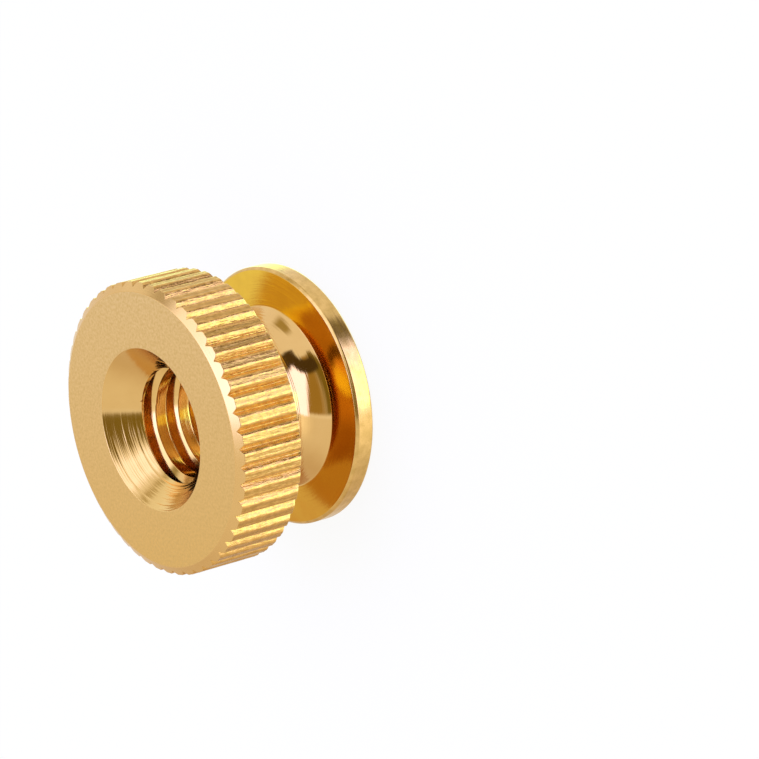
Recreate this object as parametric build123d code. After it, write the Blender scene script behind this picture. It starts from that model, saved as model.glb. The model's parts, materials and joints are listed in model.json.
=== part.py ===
"""Knurled thumb nut, turned in one piece from brass bar and tapped right through.

A wide head with straight knurling stands over a smooth waist, which flares out into a thin
flange. The head carries the countersunk mouth of the tapped bore, so a screw starts easily
from that side.

Millimetres. The nut stands on the flange with its axis on +Z, and the origin is the centre
of the flange's back face. +X passes through the crest of one knurl tooth.
"""
from build123d import *
import math
import os

# Head, with the knurl on its rim
head_diameter = 13.5        # over the crests of the teeth
head_thickness = 3.6
head_chamfer_width = 0.43   # measured in from the crests
head_chamfer_depth = 0.27   # measured down from the face

# Straight knurl
tooth_count = 50
knurl_depth = 0.24          # crest to root
knurl_angle = 90.0          # between the two flanks of a groove, degrees
tooth_crown = 0.03          # how far the middle of a tooth stands above its edges

# Waist and flange
waist_diameter = 7.4
waist_length = 3.45
waist_fillet = 0.25         # in the corners under the head and on the flange
flare_radius = 2.5          # hollow curve from the waist out to the flange
flare_height = 1.5          # how far the flare reaches up from the flange
flange_diameter = 12.0
flange_thickness = 1.0
flange_edge = 0.12          # broken corner, both sides

# Bore, at the tapping size of a 1/4 in - 20 thread
bore_diameter = 5.1
mouth_diameter = 7.5        # countersink in the head's face
mouth_angle = 82.0          # included, degrees
exit_diameter = 6.5         # lead-out in the flange's back face
exit_angle = 90.0           # included, degrees

# Heights and radii that follow
head_bottom = flange_thickness + waist_length
overall_height = head_bottom + head_thickness
head_radius = head_diameter / 2
flange_radius = flange_diameter / 2
waist_radius = waist_diameter / 2
bore_radius = bore_diameter / 2


def polar(radius, degrees):
    """A point of the plan, from its distance to the axis and its bearing from +X."""
    angle = math.radians(degrees)
    return radius * math.cos(angle), radius * math.sin(angle)


def cone_depth(wide_diameter, included_angle):
    """Depth at which a cone that is wide_diameter across meets the bore."""
    return (wide_diameter - bore_diameter) / 2 / math.tan(math.radians(included_angle / 2))


def stem():
    """Flange and waist up to the head's underside. The waist is straight under the head and
    flares out to the flange on one hollow curve, with a small fillet in each corner."""
    curve_x, curve_z = waist_radius + flare_radius, flange_thickness + flare_height
    fillet_z = flange_thickness + waist_fillet
    reach = flare_radius - waist_fillet
    fillet_x = curve_x - math.sqrt(reach**2 - (curve_z - fillet_z)**2)
    flare_foot = (
        curve_x + (fillet_x - curve_x) * flare_radius / reach,
        curve_z + (fillet_z - curve_z) * flare_radius / reach,
    )
    with BuildPart() as turned:
        with BuildSketch(Plane.XZ):
            with BuildLine():
                Polyline(
                    (0, 0),
                    (flange_radius - flange_edge, 0),
                    (flange_radius, flange_edge),
                    (flange_radius, flange_thickness - flange_edge),
                    (flange_radius - flange_edge, flange_thickness),
                    (fillet_x, flange_thickness),
                )
                RadiusArc((fillet_x, flange_thickness), flare_foot, waist_fillet)
                RadiusArc(flare_foot, (waist_radius, curve_z), flare_radius)
                Line((waist_radius, curve_z), (waist_radius, head_bottom - waist_fillet))
                RadiusArc(
                    (waist_radius, head_bottom - waist_fillet),
                    (waist_radius + waist_fillet, head_bottom),
                    waist_fillet,
                )
                Polyline(
                    (waist_radius + waist_fillet, head_bottom),
                    (0, head_bottom),
                    (0, 0),
                )
            make_face()
        revolve(axis=Axis.Z)
    return turned.part


def knurl_outline():
    """Plan of the knurled rim: crowned teeth between V grooves with straight flanks."""
    pitch = 360 / tooth_count
    root_radius = head_radius - knurl_depth
    edge_radius = head_radius - tooth_crown
    half_groove = (edge_radius - root_radius) * math.tan(math.radians(knurl_angle / 2))
    half_tooth = pitch / 2 - math.degrees(half_groove / edge_radius)
    with BuildSketch() as plan:
        with BuildLine():
            for tooth in range(tooth_count):
                crest = tooth * pitch
                left = polar(edge_radius, crest - half_tooth)
                right = polar(edge_radius, crest + half_tooth)
                ThreePointArc(left, polar(head_radius, crest), right)
                root = polar(root_radius, crest + pitch / 2)
                Line(right, root)
                Line(root, polar(edge_radius, crest + pitch - half_tooth))
        make_face()
    return plan.sketch


def head_envelope():
    """The plain head before knurling, chamfered at both faces."""
    inner = head_radius - head_chamfer_width
    with BuildPart() as blank:
        with BuildSketch(Plane.XZ):
            with BuildLine():
                Polyline(
                    (0, head_bottom),
                    (inner, head_bottom),
                    (head_radius, head_bottom + head_chamfer_depth),
                    (head_radius, overall_height - head_chamfer_depth),
                    (inner, overall_height),
                    (0, overall_height),
                    (0, head_bottom),
                )
            make_face()
        revolve(axis=Axis.Z)
    return blank.part


def knurled_head():
    """The head: the knurl's plan drawn up through its height, kept inside the envelope."""
    teeth = extrude(Pos(0, 0, head_bottom) * knurl_outline(), amount=head_thickness)
    return teeth & head_envelope()


def bore_cutter():
    """The tapped bore with its countersunk mouth and its lead-out, as one cutter."""
    mouth_depth = cone_depth(mouth_diameter, mouth_angle)
    exit_depth = cone_depth(exit_diameter, exit_angle)
    with BuildPart() as cutter:
        with BuildSketch(Plane.XZ):
            with BuildLine():
                Polyline(
                    (0, 0),
                    (exit_diameter / 2, 0),
                    (bore_radius, exit_depth),
                    (bore_radius, overall_height - mouth_depth),
                    (mouth_diameter / 2, overall_height),
                    (0, overall_height),
                    (0, 0),
                )
            make_face()
        revolve(axis=Axis.Z)
    return cutter.part


def thumb_nut():
    """The whole nut as one solid."""
    nut = stem() + knurled_head() - bore_cutter()
    nut.label = "thumb_nut"
    return nut


os.makedirs("parts", exist_ok=True)
export_step(thumb_nut(), "parts/thumb_nut.step")
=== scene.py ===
"""Looks of the knurled brass thumb nut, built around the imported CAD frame.

Lengths in the mesh code are millimetres, and the mesh is scaled to metres at the end.
The nut stands on its flange with its axis on +Z.
"""
import bmesh
import bpy
import json
import math
import numpy as np
from mathutils import Matrix, Vector


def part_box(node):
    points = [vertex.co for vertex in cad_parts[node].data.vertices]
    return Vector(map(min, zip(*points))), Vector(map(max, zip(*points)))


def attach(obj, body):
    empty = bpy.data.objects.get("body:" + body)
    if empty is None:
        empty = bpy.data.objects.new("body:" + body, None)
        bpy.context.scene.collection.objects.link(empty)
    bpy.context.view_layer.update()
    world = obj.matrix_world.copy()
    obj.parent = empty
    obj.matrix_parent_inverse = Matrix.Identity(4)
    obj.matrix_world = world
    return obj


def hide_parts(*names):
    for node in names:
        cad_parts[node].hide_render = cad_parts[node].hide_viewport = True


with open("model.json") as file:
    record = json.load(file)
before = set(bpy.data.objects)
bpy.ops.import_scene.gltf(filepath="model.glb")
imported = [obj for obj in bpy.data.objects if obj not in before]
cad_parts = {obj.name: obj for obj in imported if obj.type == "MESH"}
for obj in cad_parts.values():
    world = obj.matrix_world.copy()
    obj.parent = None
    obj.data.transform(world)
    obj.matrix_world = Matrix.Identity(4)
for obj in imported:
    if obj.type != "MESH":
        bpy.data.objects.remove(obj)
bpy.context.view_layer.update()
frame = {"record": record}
scene = bpy.context.scene
MM = 0.001

# ---------------------------------------------------------------- sizes, as in the frame
HEAD_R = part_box("thumb_nut")[1].x / MM
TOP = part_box("thumb_nut")[1].z / MM
bore_mount = next(m for m in frame["record"]["mounts"] if m["name"] == "threaded_bore")
BORE_R = bore_mount["dims"]["r_mm"]

TEETH = 50
HEAD_THICK = 3.6
HEAD_BOTTOM = TOP - HEAD_THICK
CHAMFER_W, CHAMFER_D = 0.43, 0.27
FACE_R = HEAD_R - CHAMFER_W
WAIST_R, WAIST_FILLET = 3.7, 0.05
FLARE_R, FLARE_H = 2.5, 1.5
FLANGE_R, FLANGE_T, FLANGE_EDGE = 6.0, 1.0, 0.12
MOUTH_R, MOUTH_HALF_ANGLE = 3.75, 41.0
EXIT_R, EXIT_HALF_ANGLE = 3.25, 45.0
MOUTH_Z = TOP - (MOUTH_R - BORE_R) / math.tan(math.radians(MOUTH_HALF_ANGLE))
EXIT_Z = (EXIT_R - BORE_R) / math.tan(math.radians(EXIT_HALF_ANGLE))

# How far the small arc in each corner cuts back from it
EDGE_CUT, RIM_CUT, MOUTH_CUT, EXIT_CUT, THREAD_CUT = 0.03, 0.04, 0.025, 0.012, 0.025

# Right-hand thread, 20 to the inch, which runs out into the countersink
PITCH = 1.27
MAJOR_R = 3.04
CREST_W = 0.57
UPPER_FLANK, LOWER_FLANK = 35.0, 25.0   # of a ridge, facing up and down, from level
CREST_Z, CREST_AT = 5.93, 184.1    # upper edge of the first crest: its height at that bearing
THREAD_TOP = MOUTH_Z + (MAJOR_R - BORE_R) / math.tan(math.radians(MOUTH_HALF_ANGLE)) + 0.04
THREAD_BOTTOM = EXIT_Z + 0.05
TURNS = np.arange(2, -7, -1)       # more than the bore is long; what lies outside is cut off

# Unevenness of the teeth
CREST_GAP = 0.013                  # the mean of the crests stays this far inside the solid
TOOTH_HEIGHT, STREAK, DENT = 0.006, 0.004, 0.010
DENT_FROM = 0.55                   # noise above this makes a dent
HEIGHT_SEED, STREAK_SEED, DENT_SEED = 7, 11, 12

# Mesh density
TOOTH_COLS = 20                    # columns to a tooth on the knurl
LATHE_COLS = 5 * TEETH             # columns on the plain turned faces
KNURL_ROWS = 20
FLAT_IN = 0.6                      # a place on a flat of the head, in from the chamfer
FACE_RINGS = (0.25, 1.2)           # rings on the head's flats, in from the chamfer
UNDER_RINGS = (0.9, 0.25)
WELD, SLIVER = 0.0008, 0.0005      # vertices and edges this short are merged

# Zones, which are also the material slots
FACE, CHAMFER, KNURL, UNDER, WAIST, FLANGE, RIM, BACK, EXIT, THREAD, MOUTH, LAND = range(12)


# ---------------------------------------------------------------- small helpers
def value_noise(seed, shape, at_u, at_v):
    """Smooth noise in -1..1 on a wrapped lattice, read at fractional lattice places."""
    lattice = np.random.RandomState(seed).uniform(-1, 1, shape)
    u0, v0 = np.floor(at_u).astype(int), np.floor(at_v).astype(int)
    fu, fv = at_u - u0, at_v - v0
    fu, fv = fu * fu * (3 - 2 * fu), fv * fv * (3 - 2 * fv)
    u0, u1 = u0 % shape[0], (u0 + 1) % shape[0]
    v0, v1 = v0 % shape[1], (v0 + 1) % shape[1]
    low = lattice[u0, v0] * (1 - fu) + lattice[u1, v0] * fu
    high = lattice[u0, v1] * (1 - fu) + lattice[u1, v1] * fu
    return low * (1 - fv) + high * fv


def unit(v):
    return v / np.linalg.norm(v, axis=-1, keepdims=True)


def rounded(before, corner, after, cut, hold=0.03, steps=3):
    """A corner of a profile turned into a small arc, with a holding point on each side.
    The points are arrays of (radius, height), one for each column."""
    toward, away = unit(before - corner), unit(after - corner)
    start, end = corner + cut * toward, corner + cut * away
    points = [corner + (cut + hold) * toward]
    for t in np.linspace(0, 1, steps + 1):
        points.append((1 - t) ** 2 * start + 2 * t * (1 - t) * corner + t * t * end)
    points.append(corner + (cut + hold) * away)
    return points


class Shell:
    """Collects rings of vertices and the faces between them."""

    def __init__(self):
        self.verts, self.faces, self.zones, self.count = [], [], [], 0

    def ring(self, angles, points):
        """points is (columns, 2) of radius and height, or one (radius, height) for all."""
        p = np.broadcast_to(np.asarray(points, float), (len(angles), 2))
        return self.points(angles, p[:, 0], p[:, 1])

    def points(self, angles, radii, heights):
        """Adds vertices from arrays of one shape, and returns their numbers in that shape."""
        xyz = np.stack([radii * np.cos(angles), radii * np.sin(angles), heights], -1)
        self.verts.append(xyz.reshape(-1, 3))
        first, self.count = self.count, self.count + radii.size
        return np.arange(first, self.count).reshape(radii.shape)

    def strip(self, a, b, zone):
        """Quads between two rings of the same count, or fans where one has four times more.
        For quads, zone may be a list with one zone to a column."""
        if len(a) == len(b):
            a1, b1 = np.roll(a, -1), np.roll(b, -1)
            for quad, its_zone in zip(zip(a, a1, b1, b), np.broadcast_to(zone, len(a))):
                self.add(quad, its_zone)
            return
        fine, coarse = (a, b) if len(a) > len(b) else (b, a)
        n = len(fine) // len(coarse)
        half = n // 2
        for i in range(len(coarse)):
            f = [fine[(n * i + k) % len(fine)] for k in range(n + 1)]
            c0, c1 = coarse[i], coarse[(i + 1) % len(coarse)]
            for k in range(half):
                self.add((c0, f[k], f[k + 1]), zone)
            self.add((c0, f[half], c1), zone)
            for k in range(half, n):
                self.add((c1, f[k], f[k + 1]), zone)

    def chain(self, rings):
        """Strips between rings that follow each other, given with the zone after each."""
        for (a, zone), (b, _) in zip(rings, rings[1:]):
            self.strip(a, b, zone)

    def add(self, face, zone):
        self.faces.append(tuple(int(v) for v in face))
        self.zones.append(int(zone))


# ---------------------------------------------------------------- profiles
def knurl_columns():
    """Angles and radii of the knurl's plan, one tooth repeated: its land is a little hollow,
    its shoulders are round, and its flanks fall at 45 degrees to the root."""
    pitch = 360 / TEETH
    half = math.radians(pitch / 2) * HEAD_R
    side = [   # from the middle of the land, and below the crest
        (0.0, 0.010), (0.075, 0.006), (0.125, 0.0), (0.175, 0.005), (0.22, 0.022),
        (0.26, 0.050), (0.30, 0.089), (0.34, 0.131), (0.38, 0.173), (0.41, 0.203),
        (half, 0.217),
    ]
    plan = [(math.degrees(across / HEAD_R), HEAD_R - drop) for across, drop in side]
    one = [(-a, r) for a, r in plan[-2:0:-1]] + plan
    angles = np.concatenate([[k * pitch + a for a, _ in one] for k in range(TEETH)])
    angles, radii = np.radians(angles), np.tile([r for _, r in one], TEETH)
    first = int(np.argmin(np.abs(angles)))
    return np.roll(angles, -first), np.roll(radii, -first)


def waist_profile():
    """The waist from the flange up: a small fillet, the long hollow flare, the straight part
    and the fillet under the head. Returns the radius where it starts, and its points."""
    curve_x, curve_z = WAIST_R + FLARE_R, FLANGE_T + FLARE_H
    fillet_z, reach = FLANGE_T + WAIST_FILLET, FLARE_R - WAIST_FILLET
    fillet_x = curve_x - math.sqrt(reach ** 2 - (curve_z - fillet_z) ** 2)
    lean = math.asin((curve_z - fillet_z) / reach)       # of the flare where the fillet meets it
    top = HEAD_BOTTOM - WAIST_FILLET

    def arc(x, z, radius, start, end, points):
        """Hollow arc about (x, z), at angles measured down from level."""
        return [(x - radius * math.cos(t), z - radius * math.sin(t))
                for t in np.linspace(start, end, points)]

    points = arc(fillet_x, fillet_z, WAIST_FILLET, math.pi / 2, lean, 7)
    points += arc(curve_x, curve_z, FLARE_R, lean, 0, 13)[1:]
    points.append((WAIST_R, (curve_z + top) / 2))
    points += arc(WAIST_R + WAIST_FILLET, top, WAIST_FILLET, 0, -math.pi / 2, 7)
    return fillet_x, points


def cone_radius(z):
    """Radius of the countersink, carried on below its foot."""
    return BORE_R + (z - MOUTH_Z) * math.tan(math.radians(MOUTH_HALF_ANGLE))


def thread_section():
    """One turn of the thread as (drop below the crest's upper edge, radius) points."""
    depth = MAJOR_R - BORE_R
    lower, upper = (depth * math.tan(math.radians(a)) for a in (LOWER_FLANK, UPPER_FLANK))
    corners = np.array([(0, BORE_R), (CREST_W, BORE_R), (CREST_W + lower, MAJOR_R),
                        (PITCH - upper, MAJOR_R), (PITCH, BORE_R)])
    points = []
    for i in range(4):
        before = corners[i - 1] if i else corners[3] - (PITCH, 0)
        corner, after = corners[i], corners[i + 1]
        points += rounded(before, corner, after, THREAD_CUT, hold=0.02, steps=2)
        for share in (0.35, 0.65):
            points.append(corner * (1 - share) + after * share)
    return np.array(points)


# ---------------------------------------------------------------- the nut's shell
def build_rim(shell):
    """Knurled rim with both chamfers, from the underside's edge up to the face's edge.
    Returns the lowest and the highest ring."""
    angles, plan_r = knurl_columns()
    columns = len(angles)
    ones = np.ones(columns)
    slope = CHAMFER_D / CHAMFER_W
    low_z = HEAD_BOTTOM + CHAMFER_D - (HEAD_R - plan_r) * slope
    high_z = TOP - CHAMFER_D + (HEAD_R - plan_r) * slope
    under_in = np.stack([(FACE_R - FLAT_IN) * ones, HEAD_BOTTOM * ones], 1)
    under_edge = np.stack([FACE_R * ones, HEAD_BOTTOM * ones], 1)
    low = np.stack([plan_r, low_z], 1)
    high = np.stack([plan_r, high_z], 1)
    face_edge = np.stack([FACE_R * ones, TOP * ones], 1)
    face_in = np.stack([(FACE_R - FLAT_IN) * ones, TOP * ones], 1)

    rows = [(p, UNDER if i < 3 else CHAMFER)
            for i, p in enumerate(rounded(under_in, under_edge, low, EDGE_CUT))]
    rows += [(p, CHAMFER if i < 3 else KNURL)
             for i, p in enumerate(rounded(under_edge, low, high, EDGE_CUT))]
    start, end = rows[-1][0], rounded(low, high, face_edge, EDGE_CUT)
    for k in range(1, KNURL_ROWS):
        rows.append((start + (end[0] - start) * k / KNURL_ROWS, KNURL))
    rows += [(p, KNURL if i < 3 else CHAMFER) for i, p in enumerate(end)]
    rows += [(p, CHAMFER if i < 3 else FACE)
             for i, p in enumerate(rounded(high, face_edge, face_in, EDGE_CUT))]

    # Each tooth is a little higher or lower, streaked along its length and dented
    tooth_place = (angles % (2 * math.pi)) / (2 * math.pi) * TEETH
    height = TOOTH_HEIGHT * value_noise(HEIGHT_SEED, (TEETH, 1), tooth_place, 0 * ones)
    column = np.arange(columns)
    # The middle of each tooth's land takes the LAND zone, whose brass is painted darker as shade
    land = (column % TOOTH_COLS == 0) | (column % TOOTH_COLS == TOOTH_COLS - 1)
    knurl_zones = np.where(land, LAND, KNURL)
    rings = []
    for p, zone in rows:
        if zone == KNURL:
            t = (p[:, 1] - HEAD_BOTTOM) / HEAD_THICK
            streak = value_noise(STREAK_SEED, (columns // 2, 7), column / 2, 6 * t)
            dent = value_noise(DENT_SEED, (4 * TEETH, 24), 4 * tooth_place, 23 * t)
            bump = -CREST_GAP + height + STREAK * streak - DENT * np.clip(dent - DENT_FROM, 0, 1)
            p = np.stack([p[:, 0] + np.minimum(bump, 0.0), p[:, 1]], 1)
        rings.append((shell.ring(angles, p), knurl_zones if zone == KNURL else zone))
    shell.chain(rings)
    return rings[0][0], rings[-1][0]


def build_thread(shell, plain):
    """Thread rows wind with the helix. They lie on the countersink where that is wider, and are
    cut off level at the top and the bottom. Returns the rings at both ends."""
    drops, radii = thread_section().T
    n = len(drops)
    base = CREST_Z + PITCH * (np.degrees(plain) - CREST_AT) / 360
    z = base[:, None, None] + TURNS[:, None] * PITCH - drops
    z = z.reshape(len(plain), -1)
    r = np.tile(radii, (len(plain), len(TURNS)))

    # Where thread and countersink cross, the nearer row moves onto the edge between the two
    over = r - cone_radius(z)                  # above 0 where the thread is the wider
    for i in range(len(plain)):
        for m in np.nonzero(over[i, :-1] * over[i, 1:] < 0)[0]:
            t = over[i, m] / (over[i, m] - over[i, m + 1])
            here = m if t < 0.5 else m + 1
            r[i, here] = r[i, m] + t * (r[i, m + 1] - r[i, m])
            z[i, here] = z[i, m] + t * (z[i, m + 1] - z[i, m])
    r = np.maximum(r, cone_radius(z))
    on_cone = r < cone_radius(z) + 1e-6

    # Radius at the lower cut, read from the section as it repeats
    repeated = np.concatenate([drops - PITCH, drops, drops + PITCH])
    low_r = np.interp((base - THREAD_BOTTOM) % PITCH, repeated, np.tile(radii, 3))
    r = np.where(z >= THREAD_TOP, cone_radius(THREAD_TOP), r)
    r = np.where(z <= THREAD_BOTTOM, low_r[:, None], r)
    z = np.clip(z, THREAD_BOTTOM, THREAD_TOP)

    grid = shell.points(np.broadcast_to(plain[:, None], r.shape), r, z)
    last = r.shape[1] - 1
    for i in range(len(plain)):
        closes = i + 1 == len(plain)           # back at the first column, one turn up
        there, offset = (grid[0], -n) if closes else (grid[i + 1], 0)
        for m in range(last):
            c, d = (there[min(max(k + offset, 0), last)] for k in (m + 1, m))
            zone = MOUTH if on_cone[i, m] and on_cone[i, m + 1] else THREAD
            shell.add((grid[i, m], grid[i, m + 1], c, d), zone)
    return grid[:, 0], grid[:, last]


def build_shell():
    shell = Shell()
    plain = np.arange(LATHE_COLS) * 2 * math.pi / LATHE_COLS

    def lathe(corners):
        """Turned rings from corners: (radius, height, cut, zone of the face that follows)."""
        made = []
        for i, (r, z, cut, zone) in enumerate(corners):
            if cut is None:
                made.append(((r, z), zone))
                continue
            before, after = np.array(corners[i - 1][:2]), np.array(corners[i + 1][:2])
            points = rounded(before, np.array([r, z]), after, cut)
            made += [(p, corners[i - 1][3] if k < 3 else zone) for k, p in enumerate(points)]
        return [(shell.ring(plain, p), zone) for p, zone in made]

    under_ring, face_ring = build_rim(shell)

    # Face and countersink, down to the thread
    mouth = lathe([(FACE_R - inset, TOP, None, FACE) for inset in FACE_RINGS] + [
        (MOUTH_R, TOP, MOUTH_CUT, MOUTH), (cone_radius(THREAD_TOP), THREAD_TOP, None, MOUTH),
    ])
    shell.strip(face_ring, mouth[0][0], FACE)
    shell.chain(mouth)
    thread_top, thread_low = build_thread(shell, plain)
    shell.strip(mouth[-1][0], thread_top, MOUTH)

    # Lead-out, back, flange, waist and the head's underside
    foot, waist_curve = waist_profile()
    body = lathe([
        (BORE_R, THREAD_BOTTOM, None, THREAD), (BORE_R, EXIT_Z, EXIT_CUT, EXIT),
        (EXIT_R, 0, EDGE_CUT, BACK), (FLANGE_R - FLANGE_EDGE, 0, EDGE_CUT, RIM),
        (FLANGE_R, FLANGE_EDGE, RIM_CUT, RIM), (FLANGE_R, FLANGE_T - FLANGE_EDGE, RIM_CUT, RIM),
        (FLANGE_R - FLANGE_EDGE, FLANGE_T, EDGE_CUT, FLANGE),
        (foot + 0.02, FLANGE_T, None, WAIST),
    ])
    shell.strip(thread_low, body[0][0], THREAD)
    body += [(shell.ring(plain, p), WAIST) for p in waist_curve]
    body[-1] = (body[-1][0], UNDER)
    for r in [WAIST_R + WAIST_FILLET + 0.03] + [FACE_R - inset for inset in UNDER_RINGS]:
        body.append((shell.ring(plain, (r, HEAD_BOTTOM)), UNDER))
    shell.chain(body)
    shell.strip(body[-1][0], under_ring, UNDER)
    return shell


# ---------------------------------------------------------------- object
def make_nut():
    shell = build_shell()
    bm = bmesh.new()
    verts = [bm.verts.new(v) for v in np.concatenate(shell.verts)]
    for face, zone in zip(shell.faces, shell.zones):
        if len(set(face)) < len(face):     # at the cut ends of the thread
            continue
        f = bm.faces.new([verts[i] for i in face])
        f.material_index = zone
        f.smooth = True
    bmesh.ops.remove_doubles(bm, verts=bm.verts, dist=WELD)
    bmesh.ops.dissolve_degenerate(bm, edges=bm.edges, dist=SLIVER)
    bmesh.ops.recalc_face_normals(bm, faces=bm.faces)
    bmesh.ops.scale(bm, vec=(MM, MM, MM), verts=bm.verts)
    for edge in bm.edges:
        edge.smooth = {f.material_index for f in edge.link_faces} != {MOUTH, THREAD}
    open_edges = sum(1 for e in bm.edges if not e.is_manifold)
    print("open or doubled edges:", open_edges, "faces:", len(bm.faces),
          "triangles:", sum(len(f.verts) - 2 for f in bm.faces))
    mesh = bpy.data.meshes.new("thumb_nut_turned")
    bm.to_mesh(mesh)
    bm.free()
    nut = bpy.data.objects.new("thumb_nut_turned", mesh)
    scene.collection.objects.link(nut)
    return nut


nut = make_nut()
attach(nut, "root")
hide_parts("thumb_nut")


# ---------------------------------------------------------------- shader nodes
def node(tree, kind, **settings):
    made = tree.nodes.new(kind)
    for name, value in settings.items():
        setattr(made, name, value)
    return made


def plug(tree, socket, value):
    """Sets a socket to a number or a colour, or links another node's output to it."""
    if isinstance(value, (int, float)):
        socket.default_value = value
    elif isinstance(value, tuple):
        socket.default_value = (*value, 1)
    else:
        tree.links.new(value, socket)


def math_node(tree, operation, a, b=None):
    m = node(tree, "ShaderNodeMath", operation=operation)
    for socket, value in zip(m.inputs, (a, b)):
        if value is not None:
            plug(tree, socket, value)
    return m.outputs[0]


def map_range(tree, value, low, high, to_low=0.0, to_high=1.0, kind="LINEAR"):
    ramp = node(tree, "ShaderNodeMapRange", interpolation_type=kind)
    for name, setting in (("Value", value), ("From Min", low), ("From Max", high),
                          ("To Min", to_low), ("To Max", to_high)):
        plug(tree, ramp.inputs[name], setting)
    return ramp.outputs["Result"]


def mixed(tree, factor, a, b):
    """Colour a turned to colour b by the factor."""
    mix = node(tree, "ShaderNodeMix", data_type="RGBA")
    for name, setting in (("Factor", factor), ("A", a), ("B", b)):
        plug(tree, mix.inputs[name], setting)
    return mix.outputs["Result"]


def noise(tree, vector, scale, detail):
    made = node(tree, "ShaderNodeTexNoise")
    for name, setting in (("Vector", vector), ("Scale", scale), ("Detail", detail)):
        plug(tree, made.inputs[name], setting)
    return made.outputs["Fac"]


# ---------------------------------------------------------------- materials
PIT_SIZE = 0.12                       # mm
UNEVEN_FROM, UNEVEN_TO = 1.2, -0.4    # mm along Y
UNEVEN_LEAST = 0.2                    # depth of the marks on the shallow side
CLOUD_LOW, CLOUD_HIGH = 0.35, 0.75    # noise between these turns from one tone to the other


def brass(name, roughness, grain, grain_size, grain_depth,
          colour=(0.72, 0.45, 0.165), dark=(0.62, 0.36, 0.11), mottle=0.5, speckle=1.1,
          painted_light_colour=None, painted_light_span=("y", 6.3, -6.3), uneven=False, pits=0.0):
    """Bare brass. grain says how the tool marks run: 'ring' on a flat or coned face,
    'turn' round a cylinder, 'axial' along the teeth, or 'none' for only a fine speckle.
    speckle is the size of its blotches in mm. painted_light_colour, where given, is the tone that
    the colour turns to across the nut, along the axis and between the places in
    painted_light_span:
    painted light and shade, one side of the part lighter or darker as light falls there. uneven
    makes the marks shallow on the +Y side. pits is the depth of a second, finer roughness in mm."""
    mat = bpy.data.materials.new(name)
    mat.use_nodes = True
    tree = mat.node_tree
    shader = tree.nodes["Principled BSDF"]
    shader.inputs["Metallic"].default_value = 1.0
    shader.inputs["Roughness"].default_value = roughness
    coord = node(tree, "ShaderNodeTexCoord").outputs["Object"]
    split = node(tree, "ShaderNodeSeparateXYZ")
    tree.links.new(coord, split.inputs[0])
    x, y, z = split.outputs

    # Tool marks: noise that is fine across them and slow along them
    fine, slow = 1 / (grain_size * MM), 1 / (60 * grain_size * MM)
    if grain == "ring":
        radius = math_node(tree, "SQRT", math_node(
            tree, "ADD", math_node(tree, "MULTIPLY", x, x), math_node(tree, "MULTIPLY", y, y)))
        scaled = ((radius, fine), (x, slow), (y, slow))
    elif grain == "turn":
        scaled = ((z, fine), (x, slow), (y, slow))
    elif grain == "axial":
        scaled = ((x, fine), (y, fine), (z, 10 * slow))
    else:
        scaled = ((x, fine), (y, fine), (z, fine))
    join = node(tree, "ShaderNodeCombineXYZ")
    for socket, (value, scale) in zip(join.inputs, scaled):
        tree.links.new(math_node(tree, "MULTIPLY", value, scale), socket)
    bump = node(tree, "ShaderNodeBump")
    bump.inputs["Distance"].default_value = grain_depth * MM
    tree.links.new(noise(tree, join.outputs[0], 1.0, 3.0), bump.inputs["Height"])
    depth = 1.0
    if uneven:
        depth = map_range(tree, y, UNEVEN_FROM * MM, UNEVEN_TO * MM, to_low=UNEVEN_LEAST)
    plug(tree, bump.inputs["Strength"], depth)
    if pits:
        pitted = node(tree, "ShaderNodeBump")
        pitted.inputs["Distance"].default_value = pits * MM
        tree.links.new(noise(tree, coord, 1 / (PIT_SIZE * MM), 2.0), pitted.inputs["Height"])
        tree.links.new(pitted.outputs[0], bump.inputs["Normal"])
    tree.links.new(bump.outputs[0], shader.inputs["Normal"])

    # Colour: a tone that may turn across the nut as painted light and shade, under cloudy darker
    # blotches
    if painted_light_colour:
        axis, start, end = painted_light_span
        across = map_range(tree, {"x": x, "y": y}[axis], start * MM, end * MM)
        colour = mixed(tree, across, colour, painted_light_colour)
    cloud = noise(tree, coord, 1 / (speckle * MM), 5.0)
    blotch = map_range(tree, cloud, CLOUD_LOW, CLOUD_HIGH, to_high=mottle)
    tree.links.new(mixed(tree, blotch, colour, dark), shader.inputs["Base Color"])
    return mat


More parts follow.
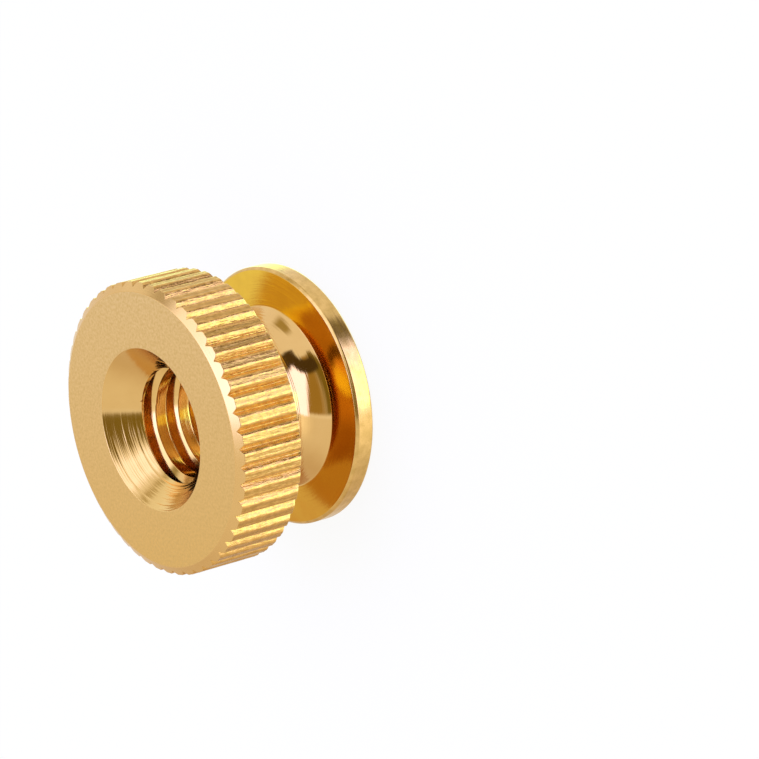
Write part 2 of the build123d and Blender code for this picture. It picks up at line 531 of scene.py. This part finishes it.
slots = {
    # Painted light: the face is paler and lighter on the +Y side and turns darker and more
    # saturated towards -Y
    FACE: brass("brass_face_painted_light", 0.32, "none", 0.09, 0.016, mottle=0.9, speckle=0.13,
                colour=(0.76, 0.525, 0.245), dark=(0.61, 0.39, 0.125),
                painted_light_colour=(0.72, 0.44, 0.13)),
    CHAMFER: brass("brass_chamfer", 0.22, "ring", 0.05, 0.002, mottle=0.2),
    # Painted shade: the knurl's brass is darker and more saturated than the rest of the nut's
    KNURL: brass("brass_knurl_painted_shade", 0.22, "axial", 0.09, 0.026, mottle=0.9, speckle=0.25, pits=0.009,
                 colour=(0.665, 0.37, 0.105), dark=(0.46, 0.24, 0.05)),
    UNDER: brass("brass_underside", 0.13, "ring", 0.06, 0.003),
    WAIST: brass("brass_waist", 0.08, "turn", 0.08, 0.004, mottle=0.3),
    # Painted reflection and shade: saturated orange stands in for light bounced between the brass
    # faces, and it turns darker and redder towards -Y
    FLANGE: brass("brass_flange_painted_reflection", 0.10, "ring", 0.06, 0.006, mottle=0.5,
                  colour=(0.82, 0.53, 0.055), dark=(0.64, 0.37, 0.04),
                  painted_light_colour=(0.57, 0.25, 0.02)),
    RIM: brass("brass_rim", 0.2, "turn", 0.10, 0.012, mottle=0.8, speckle=0.4,
               colour=(0.72, 0.45, 0.15), dark=(0.50, 0.31, 0.08)),
    BACK: brass("brass_back", 0.3, "ring", 0.08, 0.003),
    EXIT: brass("brass_exit", 0.2, "ring", 0.06, 0.003),
    THREAD: brass("brass_thread", 0.1, "turn", 0.06, 0.003, mottle=0.4,
                  colour=(0.74, 0.47, 0.165), dark=(0.60, 0.34, 0.09)),
    # Painted light: the countersink is darker on its -X side and turns lighter between x = -1.5
    # mm and x = -0.6 mm
    MOUTH: brass("brass_mouth_painted_light", 0.14, "ring", 0.12, 0.032, mottle=0.3, uneven=True,
                 colour=(0.725, 0.46, 0.165), painted_light_colour=(0.76, 0.51, 0.18),
                 painted_light_span=("x", -1.5, -0.6)),
    # The middles of the lands: rougher, and painted shade that makes them darker still than the
    # knurl where their reflection is dim
    LAND: brass("brass_land_painted_shade", 0.32, "axial", 0.09, 0.030, mottle=0.9, speckle=0.25, pits=0.012,
                colour=(0.58, 0.33, 0.09), dark=(0.42, 0.23, 0.05)),
}
for index in sorted(slots):
    nut.data.materials.append(slots[index])

# ---------------------------------------------------------------- studio
# The directions that the room is laid out in: its own up, towards the camera, and to the right
TURN = Matrix.Rotation(math.radians(1.8), 3, "Z")    # of the view about the nut's axis
ROOM_UP = (TURN @ Vector((0.4560, 0.8694, 0.1904))).normalized()
ROOM_NEAR = (TURN @ Vector((0.6527, -0.4721, 0.5925))).normalized()
ROOM_RIGHT = (TURN @ Vector((0.6050, -0.1459, -0.7827))).normalized()

# Above the table: the pale room, and what stands before it. Each panel has a colour, the
# bearings and the heights between which it lies in degrees, and how soft its edges are.
# Later ones lie over earlier ones.
ROOM_COLOUR = (1.10, 1.12, 1.20)
SHADE = (0.09, 0.06, 0.02)
PANELS = (
    ((0.50, 0.42, 0.18), (-163, -140), (40, 66), (7, 7)),       # dark patches of the back wall
    ((0.62, 0.56, 0.38), (-123, -110), (30, 46), (5, 5)),
    ((1.75, 1.9, 2.9), (-98, -38), (9, 62), (10, 7)),           # left softbox, its core, its edge
    ((2.3, 2.5, 4.8), (-75, -30), (11, 30), (6, 3)),
    ((0.45, 0.40, 0.24), (-111, -99), (10, 30), (4, 5)),
    ((0.26, 0.20, 0.035), (-24, 14), (4.5, 78), (6, 2.5)),      # dim side of the camera
    ((0.46, 0.32, 0.08), (14, 60), (4.5, 78), (8, 2.5)),
    ((2.1, 2.2, 4.2), (50, 116), (-10, 57), (4, 3)),            # right softbox and its core
    ((2.6, 4.4, 3.4), (74, 110), (-12, 22), (5, 6)),
    ((0.26, 0.22, 0.07), (101, 128), (33, 50), (6, 5)),         # gap behind it
    ((0.24, 0.20, 0.05), (114, 128), (11, 40), (4, 5)),
    (SHADE, (-8, 132), (55.5, 74), (6, 2.5)),                   # dark ceiling
    (SHADE, (98, 131), (45, 72), (5, 4)),
)
# The white table, its shade towards the foot, and what glows on it
TABLE_COLOUR, TABLE_FOOT, FOOT_FROM, FOOT_TO = (1.0, 0.98, 0.95), (0.80, 0.70, 0.57), -25, -72
TABLE_PANELS = (
    ((1.45, 1.45, 1.45), (52, 125), (-26, 10), (18, 14)),       # below the right softbox
    ((1.8, 2.4, 1.2), (-181, -162), (-32, 8), (8, 6)),          # at the back, on both sides of
    ((1.8, 2.4, 1.2), (162, 181), (-32, 8), (8, 6)),            # the bearing where it wraps
)
WHITE = (1.0, 1.0, 1.0)


def build_world():
    world = bpy.data.worlds.new("studio")
    scene.world = world
    world.use_nodes = True
    tree = world.node_tree
    tree.nodes.clear()
    coord = node(tree, "ShaderNodeTexCoord").outputs["Generated"]

    def along(axis):
        dot = node(tree, "ShaderNodeVectorMath", operation="DOT_PRODUCT")
        tree.links.new(coord, dot.inputs[0])
        dot.inputs[1].default_value = axis
        return dot.outputs["Value"]

    rise = math_node(tree, "MULTIPLY", math_node(tree, "ARCSINE", along(ROOM_UP)), 180 / math.pi)
    bearing = math_node(tree, "MULTIPLY", math_node(
        tree, "ARCTAN2", along(ROOM_RIGHT), along(ROOM_NEAR)), 180 / math.pi)

    def edge(value, low, high):
        return map_range(tree, value, low, high, kind="SMOOTHSTEP")

    def inside(value, low, high, soft):
        up = edge(value, low - soft, low + soft)
        down = math_node(tree, "SUBTRACT", 1.0, edge(value, high - soft, high + soft))
        return math_node(tree, "MULTIPLY", up, down)

    def covered(look, panels):
        for colour, azimuth, elevation, soft in panels:
            mask = math_node(tree, "MULTIPLY", inside(bearing, *azimuth, soft[0]),
                             inside(rise, *elevation, soft[1]))
            look = mixed(tree, mask, look, colour)
        return look

    room = covered(ROOM_COLOUR, PANELS)
    table = mixed(tree, edge(rise, FOOT_FROM, FOOT_TO), TABLE_COLOUR, TABLE_FOOT)
    table = covered(table, TABLE_PANELS)
    look = mixed(tree, edge(rise, 1.0, -1.0), room, table)
    # White to the camera, as the floor is
    path = node(tree, "ShaderNodeLightPath")
    look = mixed(tree, path.outputs["Is Camera Ray"], look, WHITE)
    background = node(tree, "ShaderNodeBackground")
    tree.links.new(look, background.inputs["Color"])
    out = node(tree, "ShaderNodeOutputWorld")
    tree.links.new(background.outputs[0], out.inputs["Surface"])


build_world()

FLOOR_SIZE, FLOOR_DROP = 2.0, 0.02 * MM    # it lies just under the flange, not in its plane
FLOOR_SHADE = 0.9                          # of the floor's own surface
FLOOR_GLOW = 0.9                           # share of plain white, which leaves a faint shadow


def make_floor():
    mesh = bpy.data.meshes.new("floor")
    bm = bmesh.new()
    bmesh.ops.create_grid(bm, x_segments=8, y_segments=8, size=FLOOR_SIZE)
    bm.to_mesh(mesh)
    bm.free()
    floor = bpy.data.objects.new("floor", mesh)
    floor.location.z = -FLOOR_DROP
    scene.collection.objects.link(floor)
    mat = bpy.data.materials.new("floor_white")
    mat.use_nodes = True
    tree = mat.node_tree
    shader = tree.nodes["Principled BSDF"]
    shader.inputs["Base Color"].default_value = (FLOOR_SHADE, FLOOR_SHADE, FLOOR_SHADE, 1)
    shader.inputs["Roughness"].default_value = 0.9
    path = node(tree, "ShaderNodeLightPath")
    glow = node(tree, "ShaderNodeEmission")
    plug(tree, glow.inputs["Color"], WHITE)
    glow.inputs["Strength"].default_value = 1.0
    shown = math_node(tree, "MAXIMUM", path.outputs["Is Camera Ray"], math_node(
        tree, "MAXIMUM", path.outputs["Is Glossy Ray"], path.outputs["Is Transmission Ray"]))
    mix = node(tree, "ShaderNodeMixShader")
    tree.links.new(math_node(tree, "MULTIPLY", shown, FLOOR_GLOW), mix.inputs["Fac"])
    tree.links.new(shader.outputs[0], mix.inputs[1])
    tree.links.new(glow.outputs[0], mix.inputs[2])
    tree.links.new(mix.outputs[0], tree.nodes["Material Output"].inputs["Surface"])
    mesh.materials.append(mat)
    floor.visible_glossy = False
    floor.visible_shadow = False


make_floor()

# ---------------------------------------------------------------- camera
CAM_RIGHT = Vector((0.60503, -0.14592, -0.78271))
CAM_UP = Vector((-0.03922, 0.97640, -0.21234))
CAM_BACK = Vector((0.79523, 0.15917, 0.58504))
CAM_PLACE = Vector((0.18013, 0.03554, 0.12756))    # metres
camera_data = bpy.data.cameras.new("camera")
camera = bpy.data.objects.new("camera", camera_data)
scene.collection.objects.link(camera)
pose = (TURN @ Matrix((CAM_RIGHT, CAM_UP, CAM_BACK)).transposed()).to_4x4()
pose.translation = TURN @ CAM_PLACE
camera.matrix_world = pose
camera_data.lens = 232.1
camera_data.sensor_width = 36.0
camera_data.clip_start, camera_data.clip_end = 0.01, 10.0
scene.camera = camera

scene.view_settings.view_transform = "Standard"
